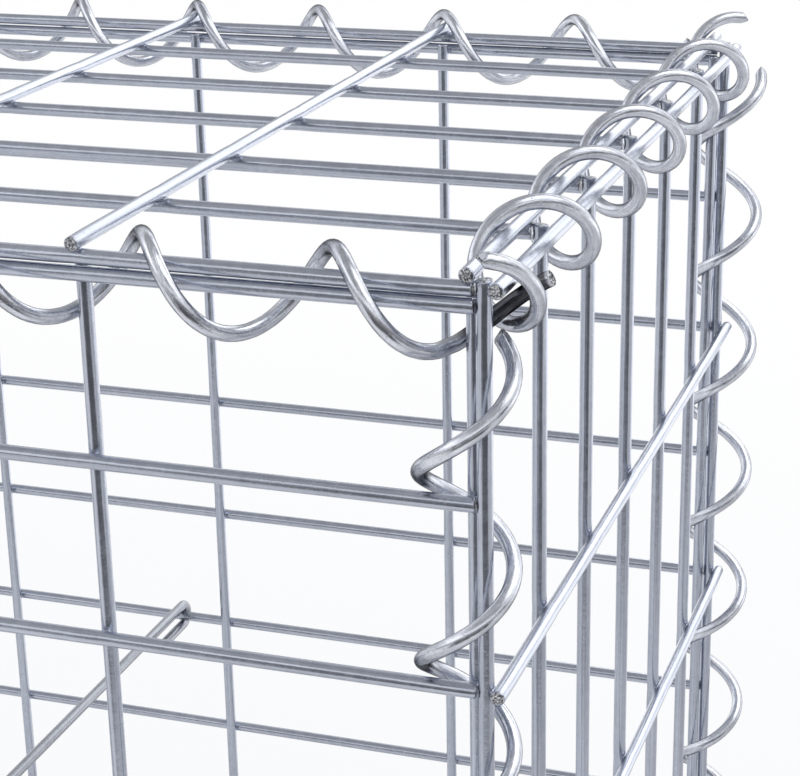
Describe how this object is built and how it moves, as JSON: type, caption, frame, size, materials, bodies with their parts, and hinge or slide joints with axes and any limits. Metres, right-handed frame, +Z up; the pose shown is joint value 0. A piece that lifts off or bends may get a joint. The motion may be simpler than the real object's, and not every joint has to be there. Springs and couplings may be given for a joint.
{
  "type": "gabion wall basket",
  "caption": "Empty galvanised welded-wire gabion basket: mesh panels laced along every edge by wire spirals, with hooked ties between front and back, ready to be filled as a wall.",
  "frame": {"origin": "centre of the footprint on the ground, under the lowest loops of the base spirals", "axes": "+X along the wall to the right, +Y from the front face to the back face, +Z up"},
  "size_m": [1.0392, 0.3286, 0.5335],
  "materials": {
    "mesh": "galvanised drawn wire, satin",
    "spiral": "galvanised coiled wire, satin with scuffs",
    "tie": "galvanised drawn wire, satin"
  },
  "bodies": {
    "root": {"panel_front": "mesh", "panel_back": "mesh", "panel_lid": "mesh", "panel_base": "mesh", "panel_right": "mesh", "panel_left": "mesh", "spiral_front_top": "spiral", "spiral_back_top": "spiral", "spiral_front_base": "spiral", "spiral_back_base": "spiral", "spiral_right_top": "spiral", "spiral_left_top": "spiral", "spiral_right_base": "spiral", "spiral_left_base": "spiral", "spiral_front_right": "spiral", "spiral_front_left": "spiral", "spiral_back_right": "spiral", "spiral_back_left": "spiral", "tie_right": "tie", "tie_left": "tie"}
  },
  "joints": []
}
